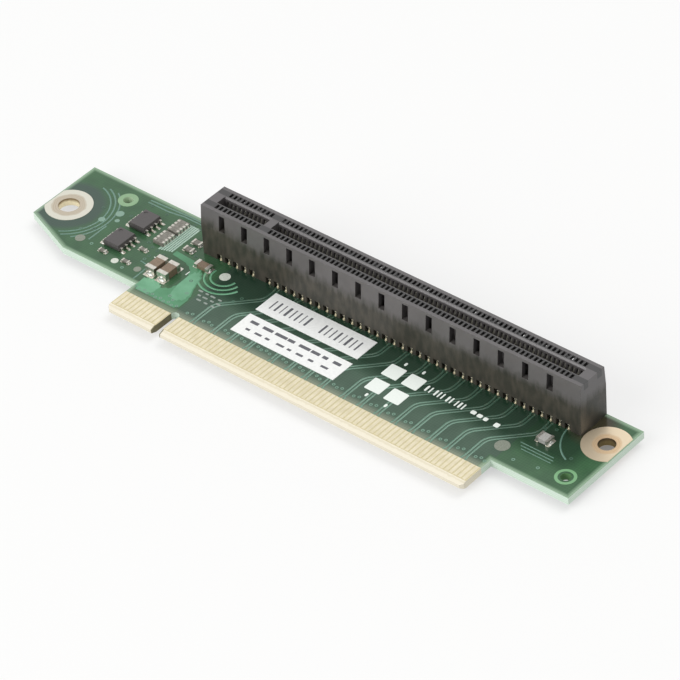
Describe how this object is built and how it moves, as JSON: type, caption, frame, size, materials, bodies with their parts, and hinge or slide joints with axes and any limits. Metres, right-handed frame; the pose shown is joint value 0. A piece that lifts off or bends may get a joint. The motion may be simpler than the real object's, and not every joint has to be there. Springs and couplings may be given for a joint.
{
  "type": "pcie riser card",
  "caption": "Slim green riser board with a gold finger tab on its front edge, a long black card slot along its rear edge, plated screw holes at its ends and small chips beside the slot.",
  "frame": {"origin": "under the middle of the card's outline, level with the tips of the slot's locating pegs, which are the lowest points", "axes": "+X along the card from the cut corner end to the other end, +Y from the finger tab to the slot, +Z out of the component side"},
  "size_m": [0.132, 0.03, 0.0142],
  "materials": {
    "green_solder_mask": "glossy green solder mask over woven glass epoxy laminate, pale at the cut edges",
    "hard_gold_plating": "bright pale gold plating on flat copper fingers",
    "tinned_copper": "satin warm metal pads",
    "black_glass_filled_nylon": "satin moulded black plastic",
    "spring_bronze": "formed spring strip with bright plated bows and tinned tails",
    "epoxy_moulding": "fine grained dark moulding",
    "tinned_leads": "bright tin with soft edges",
    "white_alumina": "matt pale ceramic with a dark glazed top",
    "tan_ceramic": "smooth tan fired ceramic",
    "grey_ferrite": "matt grey pressed ferrite",
    "label_paper": "white label stock with plain dark bars"
  },
  "bodies": {
    "root": {"circuit_board": "green_solder_mask", "edge_fingers_top": "hard_gold_plating", "edge_fingers_bottom": "hard_gold_plating", "screw_pads_left": "tinned_copper", "screw_pads_right": "tinned_copper", "slot_housing": "black_glass_filled_nylon", "slot_contacts_front": "spring_bronze", "slot_contacts_rear": "spring_bronze", "chip_body_rear": "epoxy_moulding", "chip_leads_rear": "tinned_leads", "chip_body_front": "epoxy_moulding", "chip_leads_front": "tinned_leads", "resistor_array_bodies": "white_alumina", "resistor_array_terminals": "tinned_leads", "large_capacitor_bodies": "tan_ceramic", "large_capacitor_caps": "tinned_leads", "link_resistor_bodies": "white_alumina", "link_resistor_caps": "tinned_leads", "slot_end_capacitor_body": "tan_ceramic", "slot_end_capacitor_caps": "tinned_leads", "filter_resistor_bodies": "white_alumina", "filter_resistor_caps": "tinned_leads", "end_bead_body": "grey_ferrite", "end_bead_caps": "tinned_leads", "upper_label": "label_paper", "lower_label": "label_paper"}
  },
  "joints": []
}
